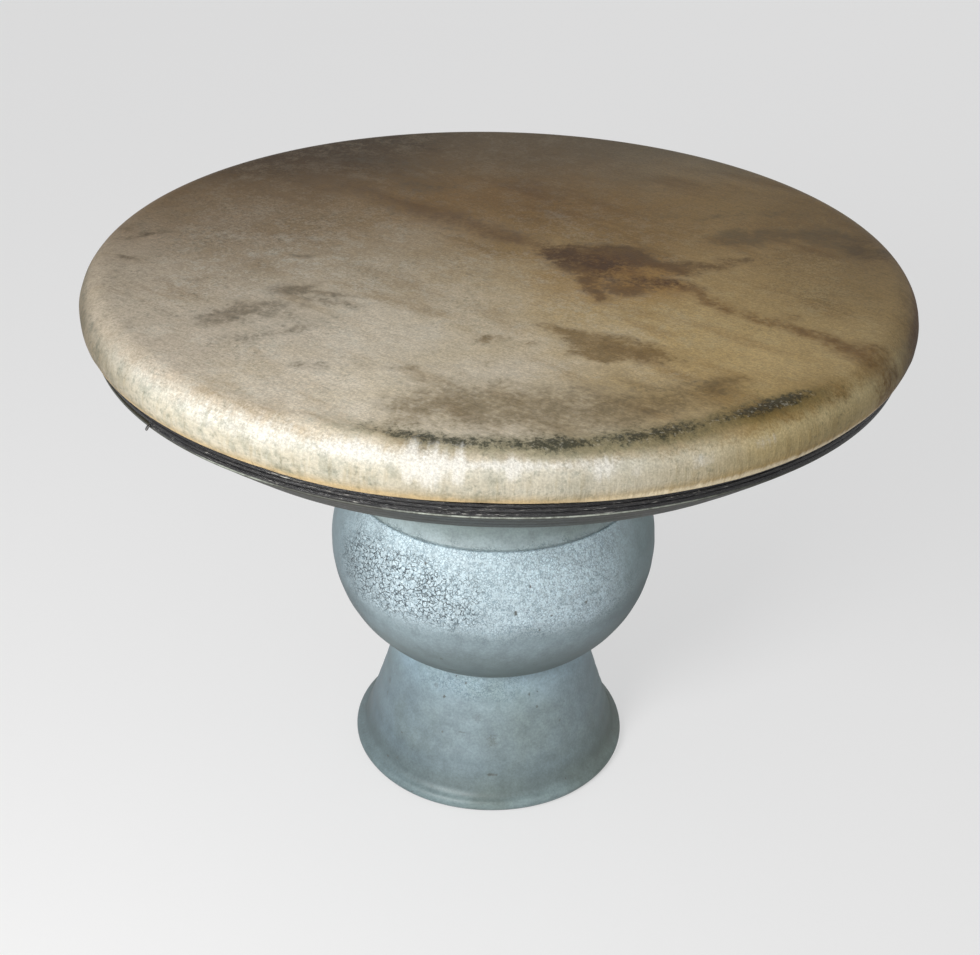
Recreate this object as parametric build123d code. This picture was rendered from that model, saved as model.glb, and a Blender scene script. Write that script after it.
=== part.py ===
# A skin-headed clay hand drum: a wide shallow bowl on a round chamber on a flared foot.
# The three fired clay sections meet at flat seams and leave one open air path from the head to the floor.
# A goatskin is drawn over the rolled rim of the bowl, glued in a shallow channel below it,
# and bound there by one waxed cord that goes round in four rows and is knotted at both of its ends.
# Millimetres, +Z up, origin on the floor at the centre of the foot.
import math
import os

from build123d import *

# Driving sizes of the whole drum
head_radius = 178.0
bulb_radius = 76.4
foot_radius = 67.0
foot_height = 64.9

# The foot
foot_neck_radius = 45.0
foot_wall = 6.3
foot_lip_radius = 3.2
foot_lip_wrap = 105.0  # degrees, from the lip's widest point up to the crease behind it
foot_sag = 0.7  # how far the flared side bows in from a straight cone
foot_inner_edge = 1.2

# The round chamber
bulb_arc_radius = 57.6
bulb_wall = 7.0
collar_inset = 9.5  # from the widest line in to where the chamber ends and the bowl begins

# The bowl's underside, from the collar out to the belt
neck_curve_radius = 12.0
underside_angle = 31.0
bowl_wall = 7.0
throat_rounding = 6.0
inner_corner_rounding = 7.0

# The rim: a steeper belt under a ledge, a channel for the binding, and a rolled bearing shoulder
belt_reach = 19.2  # from the ledge in to where the underside turns steeper
belt_rise = 15.4
ledge_face_height = 0.8
ledge_edge = 0.3
ledge_inset = 4.8  # from the skin's widest line in to the ledge
channel_depth = 2.6  # from the ledge in to the channel's floor
rim_wall = 10.2
shoulder_radius = 12.6  # of the skin's outside
shoulder_drop = 4.9  # from the widest point down to the channel's upper side

# The scribed line where the bowl sits on the chamber, as a turning tool leaves it
scribe_depth = 0.7
scribe_half_width = 0.6
scribe_overrun = 1.0

# The head and what holds it
skin_thickness = 0.9
glue_thickness = 0.4
skin_trim_gap = 0.6
skin_fold_rounding = 0.15

# The binding
cord_diameter = 1.35
cord_pitch = 1.8
cord_rows = 4
cord_sides = 8
cord_clearance = 0.3
knot_azimuth = -138.0  # degrees from +X, where the lowest row begins
knot_length = 3.2
knot_radius = 0.8
knot_tail_radius = 0.5
knot_tail_reach = 1.6  # past the ledge

# Heights and radii that follow from the sizes above
bulb_ring_radius = bulb_radius - bulb_arc_radius
collar_radius = bulb_radius - collar_inset
seat_angle = -math.degrees(math.acos((foot_neck_radius - bulb_ring_radius) / bulb_arc_radius))
collar_angle = math.degrees(math.acos((collar_radius - bulb_ring_radius) / bulb_arc_radius))
bulb_height = foot_height - bulb_arc_radius * math.sin(math.radians(seat_angle))
collar_height = bulb_height + bulb_arc_radius * math.sin(math.radians(collar_angle))
port_radius = foot_neck_radius - foot_wall
bulb_inner_radius = bulb_arc_radius - bulb_wall
throat_rise = collar_height - bulb_height
throat_radius = bulb_ring_radius + math.sqrt(bulb_inner_radius**2 - throat_rise**2)

slope = math.tan(math.radians(underside_angle))
neck_centre_radius = collar_radius + neck_curve_radius * math.cos(math.radians(collar_angle))
neck_centre_height = collar_height + neck_curve_radius * math.sin(math.radians(collar_angle))
neck_end_angle = 90 + underside_angle
cone_start_radius = neck_centre_radius + neck_curve_radius * math.cos(math.radians(neck_end_angle))
cone_start_height = neck_centre_height + neck_curve_radius * math.sin(math.radians(neck_end_angle))

ledge_radius = head_radius - ledge_inset
channel_radius = ledge_radius - channel_depth
belt_base_radius = ledge_radius - belt_reach
belt_base_height = cone_start_height + (belt_base_radius - cone_start_radius) * slope
belt_top_height = belt_base_height + belt_rise
ledge_height = belt_top_height + ledge_face_height

skin_outside = glue_thickness + skin_thickness  # from the clay to the skin's outer face
binding_height = cord_rows * cord_pitch
channel_top = ledge_height + binding_height + skin_outside
shoulder_height = channel_top + shoulder_drop
shoulder_centre_radius = head_radius - shoulder_radius
clay_shoulder_radius = shoulder_radius - skin_outside
roll_inner_radius = clay_shoulder_radius - rim_wall
bowl_inside_radius = shoulder_centre_radius + roll_inner_radius

cord_radius = cord_diameter / 2
winding_radius = channel_radius + skin_outside + cord_clearance + cord_radius
last_quarter = 4 * cord_rows - 1  # quarter turns, up to where the top row would have to climb again


def at(radius, height):
    """A point of a revolved outline."""
    return Vector(radius, 0, height)


def arc(centre, radius, start_angle, end_angle):
    """A round stretch of an outline, between two angles in degrees."""
    turns = [math.radians(angle) for angle in (start_angle, (start_angle + end_angle) / 2, end_angle)]
    return ThreePointArc(*(centre + at(radius * math.cos(turn), radius * math.sin(turn)) for turn in turns))


def outline_of(*steps):
    """The face inside points and arcs taken in order, joined by straight runs."""
    starts = [step if isinstance(step, Vector) else step @ 0 for step in steps]
    edges = []
    for step, onward in zip(steps, starts[1:] + starts[:1]):
        leaves = step
        if not isinstance(step, Vector):
            edges.append(step)
            leaves = step @ 1
        if leaves != onward:
            edges.append(Line(leaves, onward))
    return make_face(edges)


def rounded(face, corner, radius):
    """Rounds the one corner of an outline that lies at a given point."""
    return fillet(face.vertices().sort_by_distance(corner)[0], radius)


def turned(face):
    """The solid that an outline sweeps about the drum's axis."""
    return revolve(face, axis=Axis.Z)


def scribed_line(radius, height):
    """The ring of clay that a pointed tool takes out of an edge."""
    mouth = scribe_half_width * (scribe_depth + scribe_overrun) / scribe_depth
    outside = radius + scribe_overrun
    bottom = at(radius - scribe_depth, height)
    return turned(outline_of(bottom, at(outside, height - mouth), at(outside, height + mouth)))


def foot():
    """The flared foot: a rolled lip on the floor and a bell inside, open at both ends."""
    lip = arc(at(foot_radius - foot_lip_radius, foot_lip_radius), foot_lip_radius, -90, foot_lip_wrap)
    crease = lip @ 1
    neck = at(foot_neck_radius, foot_height)
    chord = neck - crease
    inward = at(-chord.Z, chord.X).normalized()
    side = ThreePointArc(crease, crease + chord / 2 + inward * foot_sag, neck)
    inner_base = at(crease.X - foot_wall, 0)
    outline = outline_of(lip, side, at(port_radius, foot_height), inner_base)
    return turned(rounded(outline, inner_base, foot_inner_edge))


def bulb():
    """The round chamber, trimmed flat where it stands on the foot and where the bowl sits on it."""
    centre = at(bulb_ring_radius, bulb_height)
    port_angle = -math.degrees(math.acos((port_radius - bulb_ring_radius) / bulb_inner_radius))
    throat_angle = math.degrees(math.asin(throat_rise / bulb_inner_radius))
    outside = arc(centre, bulb_arc_radius, seat_angle, collar_angle)
    inside = arc(centre, bulb_inner_radius, throat_angle, port_angle)
    body = turned(outline_of(outside, inside, at(port_radius, foot_height)))
    return body - scribed_line(collar_radius, collar_height)


def underside_height(radius):
    """The height of the bowl's underside at a radius."""
    return belt_base_height + (radius - belt_base_radius) * slope


def bowl():
    """The wide bowl: neck, sloping underside, belt, ledge, binding channel and rolled-in rim."""
    neck_centre = at(neck_centre_radius, neck_centre_height)
    neck = arc(neck_centre, neck_curve_radius, 180 + collar_angle, neck_end_angle)
    shoulder_centre = at(shoulder_centre_radius, shoulder_height)
    channel_angle = -math.degrees(math.asin(shoulder_drop / clay_shoulder_radius))
    shoulder = arc(shoulder_centre, clay_shoulder_radius, channel_angle, 90)
    lip_radius = rim_wall / 2
    lip = arc(shoulder_centre + at(0, clay_shoulder_radius - lip_radius), lip_radius, 90, 270)
    roll = arc(shoulder_centre, roll_inner_radius, 90, 0)
    floor_rise = bowl_wall / math.cos(math.radians(underside_angle))
    inner_corner = at(bowl_inside_radius, underside_height(bowl_inside_radius) + floor_rise)
    throat_corner = at(throat_radius, underside_height(throat_radius) + floor_rise)
    outline = outline_of(
        neck,
        at(belt_base_radius, belt_base_height),
        at(ledge_radius, belt_top_height),
        at(ledge_radius, ledge_height - ledge_edge),
        at(ledge_radius - ledge_edge, ledge_height),
        at(channel_radius, ledge_height),
        at(channel_radius, channel_top),
        shoulder,
        lip,
        roll,
        inner_corner,
        throat_corner,
        at(throat_radius, collar_height),
    )
    outline = rounded(outline, inner_corner, inner_corner_rounding)
    outline = rounded(outline, throat_corner, throat_rounding)
    return turned(outline) - scribed_line(collar_radius, collar_height)


def skin():
    """The goatskin: flat over the bowl, round the shoulder, and folded into the channel."""
    centre = at(shoulder_centre_radius, shoulder_height)
    trimmed_edge = ledge_height + skin_trim_gap

    def fold_angle(offset):
        return -math.degrees(math.asin((shoulder_drop + offset) / (clay_shoulder_radius + offset)))

    outer_fold = at(channel_radius + skin_outside, channel_top - skin_outside)
    inner_fold = at(channel_radius + glue_thickness, channel_top - glue_thickness)
    outline = outline_of(
        at(0, shoulder_height + shoulder_radius),
        arc(centre, shoulder_radius, 90, fold_angle(skin_outside)),
        outer_fold,
        at(outer_fold.X, trimmed_edge),
        at(inner_fold.X, trimmed_edge),
        inner_fold,
        arc(centre, clay_shoulder_radius + glue_thickness, fold_angle(glue_thickness), 90),
        at(0, shoulder_height + clay_shoulder_radius + glue_thickness),
    )
    return turned(rounded(outline, outer_fold, skin_fold_rounding))


def glue():
    """The glue line between the clay channel and the skin, as tall as the skin lies on it."""
    base = ledge_height + skin_trim_gap
    top = channel_top - glue_thickness
    outer = channel_radius + glue_thickness
    corners = ((channel_radius, base), (outer, base), (outer, top), (channel_radius, top))
    return turned(outline_of(*(at(*corner) for corner in corners)))


def winding_point(quarter):
    """A point of the winding after so many quarter turns, and the way the cord runs there.

    Each turn is level for three quarters, and its last quarter climbs to the next row.
    """
    angle = math.radians(knot_azimuth + quarter * 90)
    height = ledge_height + (quarter // 4 + 1 / 2) * cord_pitch
    place = Vector(winding_radius * math.cos(angle), winding_radius * math.sin(angle), height)
    return place, Vector(-math.sin(angle), math.cos(angle), 0)


def biarc(start, start_along, end, end_along):
    """Two arcs that leave start and reach end in the given directions, smooth where they meet."""
    gap = end - start
    square = 2 * (1 - start_along.dot(end_along))
    linear = 2 * gap.dot(start_along + end_along)
    reach = (math.sqrt(linear**2 + 4 * square * gap.dot(gap)) - linear) / (2 * square)
    middle = (start + end + (start_along - end_along) * reach) / 2
    first = TangentArc(start, middle, tangent=start_along)
    return [first, TangentArc(middle, end, tangent=first % 1)]


def winding_route():
    """The cord's middle line, from the lower knot to the upper one."""
    stops = [winding_point(quarter) for quarter in range(last_quarter + 1)]
    return Wire([piece for start, end in zip(stops, stops[1:]) for piece in biarc(*start, *end)])


def winding(route):
    """The waxed cord as one unbroken tube."""
    start, along = winding_point(0)
    section = Plane(origin=start, z_dir=along) * RegularPolygon(cord_radius, cord_sides)
    return sweep(section, path=route)


def least_gap(route):
    """The least free space between one row of the winding and the next."""
    samples_per_quarter = 60
    count = samples_per_quarter * last_quarter
    points = [route.position_at(index / count) for index in range(count + 1)]
    half_turn = 2 * samples_per_quarter
    return min(
        (point - other).length - cord_diameter
        for index, point in enumerate(points)
        for other in points[index + half_turn :]
    )


def knot(quarter, beyond):
    """A small barrel knot at an end of the cord: beyond is 1 after the last row and -1 before the first."""
    end, along = winding_point(quarter)
    half = knot_length / 2
    side = ThreePointArc(at(cord_radius, -half), at(knot_radius, 0), at(cord_radius, half))
    barrel = turned(outline_of(at(0, -half), side, at(0, half)))
    return Plane(origin=end + along * beyond * half, z_dir=along) * barrel


def knots():
    """The knots at the cord's two ends. The lower one's cut tail stands out over the ledge."""
    end, along = winding_point(0)
    outward = Vector(end.X, end.Y).normalized()
    reach = ledge_radius + knot_tail_reach - winding_radius
    tail = Cylinder(knot_tail_radius, reach, align=(Align.CENTER, Align.CENTER, Align.MIN))
    tail_root = Plane(origin=end - along * knot_length / 2, z_dir=outward)
    return Compound([knot(0, -1) + tail_root * tail, knot(last_quarter, 1)])


route = winding_route()
pieces = {
    "clay_foot": foot(),
    "clay_bulb": bulb(),
    "clay_bowl": bowl(),
    "goatskin_head": skin(),
    "skin_glue_line": glue(),
    "binding_cord": winding(route),
    "binding_knots": knots(),
}
os.makedirs("parts", exist_ok=True)
for name, piece in pieces.items():
    export_step(piece, f"parts/{name}.step")
print(f"least gap in the winding {least_gap(route):.2f} mm")
print(f"playing face at {shoulder_height + shoulder_radius:.1f} mm")
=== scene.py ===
"""The looks of a skin-headed clay hand drum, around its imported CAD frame. Metres, +Z up, origin under the foot."""
import math

import bpy
import numpy as np
from mathutils import Matrix, Vector, noise


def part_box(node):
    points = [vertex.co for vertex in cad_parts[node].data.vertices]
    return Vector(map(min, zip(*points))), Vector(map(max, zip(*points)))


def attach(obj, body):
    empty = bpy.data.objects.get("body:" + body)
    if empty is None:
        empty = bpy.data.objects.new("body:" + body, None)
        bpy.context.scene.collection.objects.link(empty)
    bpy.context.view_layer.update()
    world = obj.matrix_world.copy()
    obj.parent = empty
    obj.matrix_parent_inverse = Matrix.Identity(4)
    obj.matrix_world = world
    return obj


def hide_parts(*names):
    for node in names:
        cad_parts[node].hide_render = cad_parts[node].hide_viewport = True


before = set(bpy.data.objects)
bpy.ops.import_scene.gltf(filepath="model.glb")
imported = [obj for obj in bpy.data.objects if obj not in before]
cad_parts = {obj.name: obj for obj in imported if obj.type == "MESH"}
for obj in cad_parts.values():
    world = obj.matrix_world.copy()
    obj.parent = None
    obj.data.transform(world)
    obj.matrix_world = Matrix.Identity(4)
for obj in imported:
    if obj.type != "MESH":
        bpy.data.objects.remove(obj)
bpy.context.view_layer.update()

MM = 0.001

# Sizes of the drum, as the frame has them
HEAD_RADIUS = 178.0 * MM
BULB_RADIUS = 76.4 * MM
BULB_ARC = 57.6 * MM
BULB_WALL = 7.0 * MM
FOOT_RADIUS = 67.0 * MM
FOOT_LIP = 3.2 * MM
FOOT_LIP_WRAP = math.radians(105)
FOOT_SAG = 0.7 * MM
FOOT_NECK = 45.0 * MM
FOOT_WALL = 6.3 * MM
FOOT_INNER_EDGE = 1.2 * MM
FOOT_VALLEY = 6.0 * MM
COLLAR_RADIUS = BULB_RADIUS - 9.5 * MM
NECK_CURVE = 12.0 * MM
SLOPE_ANGLE = math.radians(31.0)
BOWL_WALL = 7.0 * MM
THROAT_ROUNDING = 6.0 * MM
INNER_CORNER_ROUNDING = 7.0 * MM
LEDGE_RADIUS = HEAD_RADIUS - 4.8 * MM
CHANNEL_RADIUS = LEDGE_RADIUS - 2.6 * MM
BELT_REACH = 19.2 * MM
BELT_RISE = 15.4 * MM
BELT_EASING = 40.0 * MM
LEDGE_FACE = 0.8 * MM
LEDGE_EDGE = 0.3 * MM
SHOULDER_RADIUS = 12.6 * MM
SHOULDER_DROP = 4.9 * MM
RIM_WALL = 10.2 * MM
SKIN_THICKNESS = 0.9 * MM
GLUE_THICKNESS = 0.4 * MM
SKIN_TRIM_GAP = 0.6 * MM
CORD_ROWS = 4
CORD_PITCH = 1.8 * MM
CORD_RADIUS = 0.89 * MM
CORD_BED = 0.06 * MM
KNOT_AZIMUTH = math.radians(-138)
KNOT_LENGTH = 3.2 * MM
TAIL_REACH = 2.6 * MM

# The cut and depth of the line scribed where the bowl sits on the chamber
SCRIBE_DEPTH = 0.7 * MM
SCRIBE_HALF_WIDTH = 0.5 * MM

# Heights that the frame gives, and what follows from them
SEAT_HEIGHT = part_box("clay_foot")[1][2]
COLLAR_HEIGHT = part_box("clay_bulb")[1][2]
HEAD_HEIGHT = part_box("goatskin_head")[1][2]
SKIN_OUTSIDE = SKIN_THICKNESS + GLUE_THICKNESS
SHOULDER_HEIGHT = HEAD_HEIGHT - SHOULDER_RADIUS
SHOULDER_CENTRE = HEAD_RADIUS - SHOULDER_RADIUS
CLAY_SHOULDER = SHOULDER_RADIUS - SKIN_OUTSIDE
ROLL_INNER = CLAY_SHOULDER - RIM_WALL
BOWL_INSIDE = SHOULDER_CENTRE + ROLL_INNER
CHANNEL_TOP = SHOULDER_HEIGHT - SHOULDER_DROP
LEDGE_HEIGHT = CHANNEL_TOP - SKIN_OUTSIDE - CORD_ROWS * CORD_PITCH
BELT_TOP = LEDGE_HEIGHT - LEDGE_FACE
BELT_BASE = BELT_TOP - BELT_RISE
BELT_BASE_RADIUS = LEDGE_RADIUS - BELT_REACH
BULB_RING = BULB_RADIUS - BULB_ARC
BULB_INNER = BULB_ARC - BULB_WALL
SEAT_ANGLE = -math.acos((FOOT_NECK - BULB_RING) / BULB_ARC)
COLLAR_ANGLE = math.acos((COLLAR_RADIUS - BULB_RING) / BULB_ARC)
BULB_HEIGHT = SEAT_HEIGHT - BULB_ARC * math.sin(SEAT_ANGLE)
THROAT_RISE = COLLAR_HEIGHT - BULB_HEIGHT
THROAT_RADIUS = BULB_RING + math.sqrt(BULB_INNER**2 - THROAT_RISE**2)
PORT_RADIUS = FOOT_NECK - FOOT_WALL

# Marks on the skin, in millimetres from its centre, as (x, y)
# (x, y, half width, strength) along the brown stripe over the goat's spine
SPINE = [(-92, 92, 12, 0.3), (-60, 68, 12, 0.45), (-18, 37, 11, 0.7), (2, 23, 10, 0.75), (24, 7, 11, 0.8), (45, -12, 12, 0.8), (64, -25, 9, 0.8), (82, -37, 7, 0.8), (95, -52, 7, 0.8), (115, -63, 7, 0.75), (129, -77, 7, 0.9), (138, -86, 8, 0.9), (147, -97, 9, 0.75), (158, -110, 10, 0.35)]
# (x, y, half length, half width, angle from +X in degrees, strength)
DARK_PATCH = [(33, 3, 12, 9, 0, 0.95), (46, 5, 15, 8, -10, 0.95), (36, -13, 13, 11, -30, 0.95), (38, -29, 8, 9, 0, 0.85), (40, -43, 5, 7, 0, 0.75), (57, -6, 13, 7, -25, 0.85), (73, -9, 13, 5, -15, 0.8), (87, -4, 15, 5, 5, 0.65), (105, -3, 13, 5, 0, 0.4), (54, -35, 8, 6, 15, 0.75), (67, -27, 12, 6, 0, 0.6)]
OLIVE_PATCH = [(22, -71, 7, 4, -35, 0.6), (29, -80, 9, 7, -35, 0.85), (38, -88, 12, 9, -25, 0.95), (46, -94, 12, 8, -10, 0.95), (35, -96, 8, 6, -25, 0.8), (61, -98, 8, 5, -10, 0.65), (-3, -83, 8, 7, -20, 0.5), (11, -89, 5, 4, 0, 0.3)]
FRONT_CLOUD = [(-30, -143, 11, 15, 0, 0.85), (-12, -139, 18, 17, 0, 0.85), (12, -144, 22, 18, 0, 0.8), (36, -142, 22, 14, 5, 0.75), (58, -135, 18, 11, 15, 0.75), (80, -122, 13, 8, 30, 0.85), (90, -115, 7, 7, 40, 0.95), (52, -120, 14, 4, -15, 0.55), (40, -110, 8, 4, 0, 0.45), (-32, -112, 5, 4, -10, 0.65), (-26, -121, 8, 4, -10, 0.45), (-1, -109, 6, 4, 0, 0.4)]
SPOTS = [(-81, -41, 9, 9, 0, 1.0), (-74, -38, 8, 4, 10, 0.6), (-68, -47, 16, 3, -15, 0.8), (-66, -56, 14, 3, -15, 0.6), (-104, -66, 12, 5, 15, 0.85), (-113, -74, 9, 6, 0, 0.55), (-92, -62, 26, 12, 10, 0.55), (-80, -78, 14, 7, 30, 0.55), (-98, -88, 10, 8, 0, 0.45), (-159, -13, 6, 3, -30, 1.0), (-155, 15, 13, 5, 20, 0.8), (-86, -7, 5, 3, 0, 0.8), (-70, 6, 4, 3, 0, 0.5), (-70, -112, 10, 5, -10, 0.6), (-48, -108, 14, 5, -10, 0.45), (-23, 27, 8, 4, -20, 0.4), (-128, -92, 12, 6, 30, 0.5), (-135, -70, 16, 8, 40, 0.4)]
BACK_GREY = [(106, 23, 14, 13, 0, 0.95), (127, 30, 18, 8, 0, 0.75), (148, 28, 18, 12, -10, 0.9), (161, 12, 10, 10, 0, 0.9), (91, 53, 26, 6, 0, 0.5), (125, 58, 26, 5, -8, 0.4), (-40, 86, 26, 12, -35, 0.6), (-60, 118, 40, 11, 0, 0.5), (60, 96, 50, 6, -4, 0.35)]
# (azimuth in degrees, height, half width in degrees, half height, strength) of the pale tongues on the shoulder: paler
# stretched skin with a painted highlight on it
TONGUES = [(-99.5, 251, 1.2, 6, 0.9), (-97, 250, 1.5, 7, 1.0), (-94, 251, 1.0, 6, 0.9), (-88, 251, 1.3, 4, 0.7), (-78, 250, 1.6, 4, 0.7), (-74, 249, 1.0, 3, 0.5), (-66, 249, 2.0, 3, 0.5), (-106, 253, 6, 3, 0.8), (-90, 252.5, 14, 1.6, 0.7), (-117, 252, 5, 5, 0.6), (-127, 251, 6, 5, 0.5), (-57, 250, 2.4, 3, 0.35)]
# (azimuth in degrees, millimetres by which the skin's lower edge hangs lower there)
SKIN_SAG = [(-150, -0.3), (-140, -0.45), (-128, -0.45), (-118, -0.4), (-113, 0.1), (-108, 0.3), (-99, 0.05), (-91, -0.35), (-82, -0.15), (-71, 0.4), (-61, 0.65), (-50, 0.3), (-40, -0.3), (-20, -0.2), (10, 0.2), (60, -0.2), (110, 0.25), (170, 0.1)]


def bend(centre, radius, start, end, spacing):
    """Points along an arc of a profile, as (radius, height) rows; its angles are in radians."""
    count = max(3, math.ceil(abs(end - start) * radius / spacing) + 1)
    turn = np.linspace(start, end, count)
    return np.column_stack((centre[0] + radius * np.cos(turn), centre[1] + radius * np.sin(turn)))


def run(start, end, spacing):
    """Points along a straight stretch of a profile."""
    count = max(2, math.ceil(math.dist(start, end) / spacing) + 1)
    return np.linspace(start, end, count)


def through(start, end, sag, spacing):
    """Points from start to end along a slight arc that stands off the chord by sag, to its left."""
    start, end = np.array(start), np.array(end)
    share = np.linspace(0, 1, math.ceil(math.dist(start, end) / spacing) + 1)[:, None]
    chord = end - start
    left = np.array((-chord[1], chord[0])) / np.linalg.norm(chord)
    return start + chord * share + left * (4 * sag * share * (1 - share))


def eased(before, corner, after, radius, spacing):
    """Points along the arc that rounds a profile's corner, between the runs from before and to after."""
    before, corner, after = (np.array(point) for point in (before, corner, after))
    back = (before - corner) / np.linalg.norm(before - corner)
    onward = (after - corner) / np.linalg.norm(after - corner)
    half = math.acos(np.clip(back @ onward, -1, 1)) / 2
    middle = corner + (back + onward) / np.linalg.norm(back + onward) * radius / math.sin(half)
    first = corner + back * radius / math.tan(half) - middle
    last = corner + onward * radius / math.tan(half) - middle
    start = math.atan2(first[1], first[0])
    sweep = math.atan2(first[0] * last[1] - first[1] * last[0], first @ last)
    return bend(middle, radius, start, start + sweep, spacing)


def joined(*stretches):
    """One profile from stretches that meet end to end."""
    rows = [stretches[0]]
    for stretch in stretches[1:]:
        near = math.dist(rows[-1][-1], stretch[0]) < 0.01 * MM
        rows.append(stretch[1:] if near else stretch)
    return np.vstack(rows)


def smooth(value, low, high):
    """0 below low, 1 above high, and an even curve between them."""
    share = np.clip((value - low) / (high - low), 0, 1)
    return share * share * (3 - 2 * share)


def wander(azimuth, seed, slowest, fastest):
    """A smooth random line round the drum, mostly between -1 and 1, that closes on itself."""
    pick = np.random.default_rng(seed)
    waves = range(slowest, fastest + 1)
    total = sum(pick.normal() * np.cos(wave * azimuth + pick.uniform(0, math.tau)) for wave in waves)
    return total / math.sqrt(len(waves))


def skin_of_grid(name, points, loops, attributes, sharp_angle):
    """A mesh piece from points and the indexes of its faces, with its point attributes."""
    mesh = bpy.data.meshes.new(name)
    mesh.from_pydata(points.reshape(-1, 3).tolist(), [], loops)
    mesh.shade_smooth()
    mesh.set_sharp_from_angle(angle=math.radians(sharp_angle))
    for label, values in attributes.items():
        if values.ndim == points.ndim:
            layer = mesh.attributes.new(label, "FLOAT_VECTOR", "POINT")
            layer.data.foreach_set("vector", values.reshape(-1).astype(np.float32))
        else:
            layer = mesh.attributes.new(label, "FLOAT", "POINT")
            layer.data.foreach_set("value", values.reshape(-1).astype(np.float32))
    piece = bpy.data.objects.new(name, mesh)
    bpy.context.scene.collection.objects.link(piece)
    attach(piece, "root")
    return piece


def quads(rows, columns, closed):
    """The faces of a grid whose columns close on themselves, and its rows as well where closed."""
    row = np.arange(rows if closed else rows - 1)[:, None]
    column = np.arange(columns)[None, :]
    below, above = row * columns, (row + 1) % rows * columns
    beside = (column + 1) % columns
    corners = (below + column, below + beside, above + beside, above + column)
    return np.stack(np.broadcast_arrays(*corners), axis=-1).reshape(-1, 4).tolist()


def turned(name, profile, around, carve, marks=None):
    """A closed piece of revolution, from a profile loop that runs up its outside and down its inside.

    carve gives how far the surface stands out from the profile, and marks gives the point attributes.
    """
    onward = np.roll(profile, -1, axis=0) - np.roll(profile, 1, axis=0)
    onward /= np.linalg.norm(onward, axis=1)[:, None]
    azimuth = np.arange(around)[None, :] * math.tau / around
    radius, height = profile[:, :1], profile[:, 1:]
    depth = carve(radius, height, azimuth)
    outer = radius + onward[:, 1:] * depth
    level = height - onward[:, :1] * depth
    points = np.stack((outer * np.cos(azimuth), outer * np.sin(azimuth), level + 0 * azimuth), axis=-1)
    attributes = marks(points[..., 0], points[..., 1], points[..., 2]) if marks else {}
    return skin_of_grid(name, points, quads(len(profile), around, True), attributes, 50)


def tube(name, centres, side, radii, attributes=None):
    """A solid tube along a line of centres. side points to where each row of radii starts."""
    along = np.gradient(centres, axis=0)
    along /= np.linalg.norm(along, axis=1)[:, None]
    side = side - along * (side * along).sum(1)[:, None]
    side /= np.linalg.norm(side, axis=1)[:, None]
    across = np.cross(along, side)
    around = radii.shape[1]
    turn = np.arange(around) * math.tau / around
    ring = side[:, None] * np.cos(turn)[None, :, None] + across[:, None] * np.sin(turn)[None, :, None]
    points = centres[:, None] + ring * radii[..., None]
    loops = quads(len(centres), around, False)
    first = list(range(around))
    loops.append(first[::-1])
    loops.append([(len(centres) - 1) * around + index for index in first])
    return skin_of_grid(name, points, loops, attributes or {}, 60)


def blotches(x, y, marks):
    """How strong a group of soft elliptical marks is at each point; positions in millimetres."""
    clear = np.ones(np.broadcast(x, y).shape)
    for centre_x, centre_y, length, width, angle, strength in marks:
        cosine, sine = math.cos(math.radians(angle)), math.sin(math.radians(angle))
        along = ((x - centre_x) * cosine + (y - centre_y) * sine) / length
        across = ((y - centre_y) * cosine - (x - centre_x) * sine) / width
        clear = clear * (1 - strength * np.exp(-(along**2 + across**2)))
    return 1 - clear


def stripe(x, y, line):
    """How strong a soft stripe is at each point; its line has a half width and a strength at each bend."""
    strongest = np.zeros(np.broadcast(x, y).shape)
    for start, end in zip(line, line[1:]):
        run_x, run_y = end[0] - start[0], end[1] - start[1]
        share = np.clip(((x - start[0]) * run_x + (y - start[1]) * run_y) / (run_x**2 + run_y**2), 0, 1)
        away = np.hypot(x - start[0] - share * run_x, y - start[1] - share * run_y)
        width, strength = (start[i] + share * (end[i] - start[i]) for i in (2, 3))
        strongest = np.maximum(strongest, strength * np.exp(-((away / width) ** 2)))
    return strongest


def blown(x, y, seed):
    """The positions, in millimetres, pushed about by smooth noise, so that what is drawn with them has a ragged outline."""
    noise.seed_set(1)
    push = np.array([
        noise.noise_vector((i / 26 + seed, j / 26, seed)) * 7 + noise.noise_vector((i / 9, j / 9 + seed, seed)) * 3.5
        for i, j in zip(x.ravel().tolist(), y.ravel().tolist())
    ])
    return x + push[:, 0].reshape(x.shape), y + push[:, 1].reshape(y.shape)


# The clay foot

def foot_profile():
    lip_centre = np.array((FOOT_RADIUS - FOOT_LIP, FOOT_LIP))
    crease = lip_centre + FOOT_LIP * np.array((math.cos(FOOT_LIP_WRAP), math.sin(FOOT_LIP_WRAP)))
    neck = np.array((FOOT_NECK, SEAT_HEIGHT))
    upward = (neck - crease) / np.linalg.norm(neck - crease)
    outward = np.array((upward[1], -upward[0]))
    offset = crease - lip_centre + outward * FOOT_VALLEY
    rise = math.sqrt((upward @ offset) ** 2 + (FOOT_LIP + FOOT_VALLEY) ** 2 - offset @ offset) - upward @ offset
    valley_centre = lip_centre + offset + upward * rise
    away = valley_centre - lip_centre
    lip_end = math.atan2(away[1], away[0])
    valley_end = math.atan2(-outward[1], -outward[0])
    lip = bend(lip_centre, FOOT_LIP, -math.pi / 2, lip_end, 0.5 * MM)
    valley = bend(valley_centre, FOOT_VALLEY, lip_end - math.pi, valley_end, 0.6 * MM)
    inner_base = (crease[0] - FOOT_WALL, 0)
    port = (PORT_RADIUS, SEAT_HEIGHT)
    side = through(valley[-1], neck, FOOT_SAG, 0.75 * MM)
    seat = run(neck, port, 2 * MM)
    edge = eased(port, inner_base, lip[0], FOOT_INNER_EDGE, 0.3 * MM)
    inside = run(port, edge[0], 1.6 * MM)
    return joined(lip, valley, side, seat, inside, edge, run(edge[-1], lip[0], 1.5 * MM))[:-1]


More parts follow.
